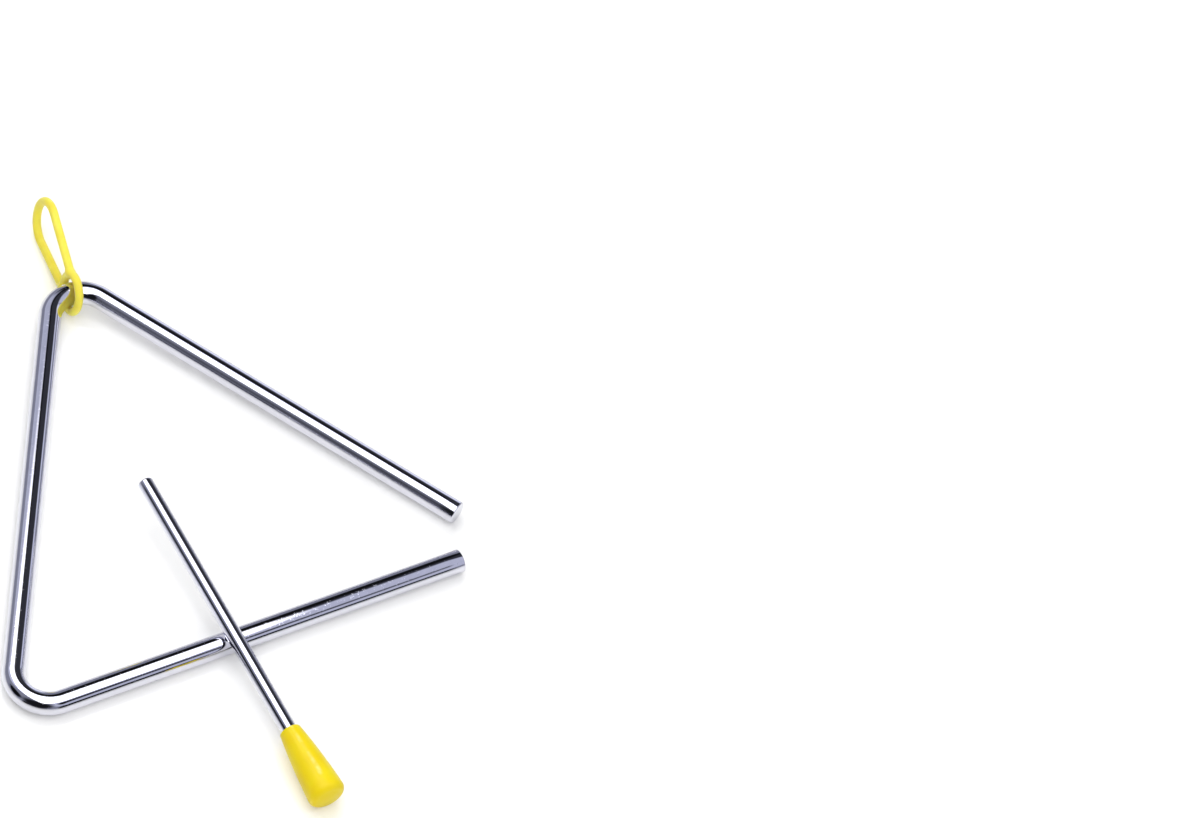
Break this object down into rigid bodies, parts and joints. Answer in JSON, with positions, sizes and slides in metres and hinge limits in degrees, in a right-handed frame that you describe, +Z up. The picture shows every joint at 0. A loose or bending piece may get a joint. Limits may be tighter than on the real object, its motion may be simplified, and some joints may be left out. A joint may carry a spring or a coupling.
{
  "type": "triangle instrument",
  "caption": "Hand percussion triangle: a round steel rod bent into an open triangle, a plastic ring with a finger loop at one corner, and a steel beater with a tapered plastic grip.",
  "frame": {"origin": "on the table, under the middle of the box round the whole set as it lies", "axes": "+Z up from the table; +X along the lower bar towards the open corner; +Y across the bar towards the corner with the finger loop"},
  "size_m": [0.1522, 0.2256, 0.0165],
  "materials": {
    "rod_chrome": "polished chrome plate on steel",
    "loop_plastic": "smooth glossy yellow moulding",
    "beater_chrome": "polished chrome plate on steel",
    "grip_plastic": "satin to glossy yellow moulding"
  },
  "bodies": {
    "triangle": {"triangle_rod": "rod_chrome"},
    "loop": {"holder_loop": "loop_plastic"},
    "beater": {"beater_rod": "beater_chrome", "beater_grip": "grip_plastic"}
  },
  "joints": [
    {"name": "loop_swing", "type": "hinge", "parent": "triangle", "child": "loop", "pos_m": [0.0011, 0.07955, 0.00625], "axis": [1, 0, 0], "continuous": true},
    {"name": "beater_lift", "type": "slide", "parent": "triangle", "child": "beater", "axis": [0, 0, 1], "range_m": [0, 0.15]}
  ]
}
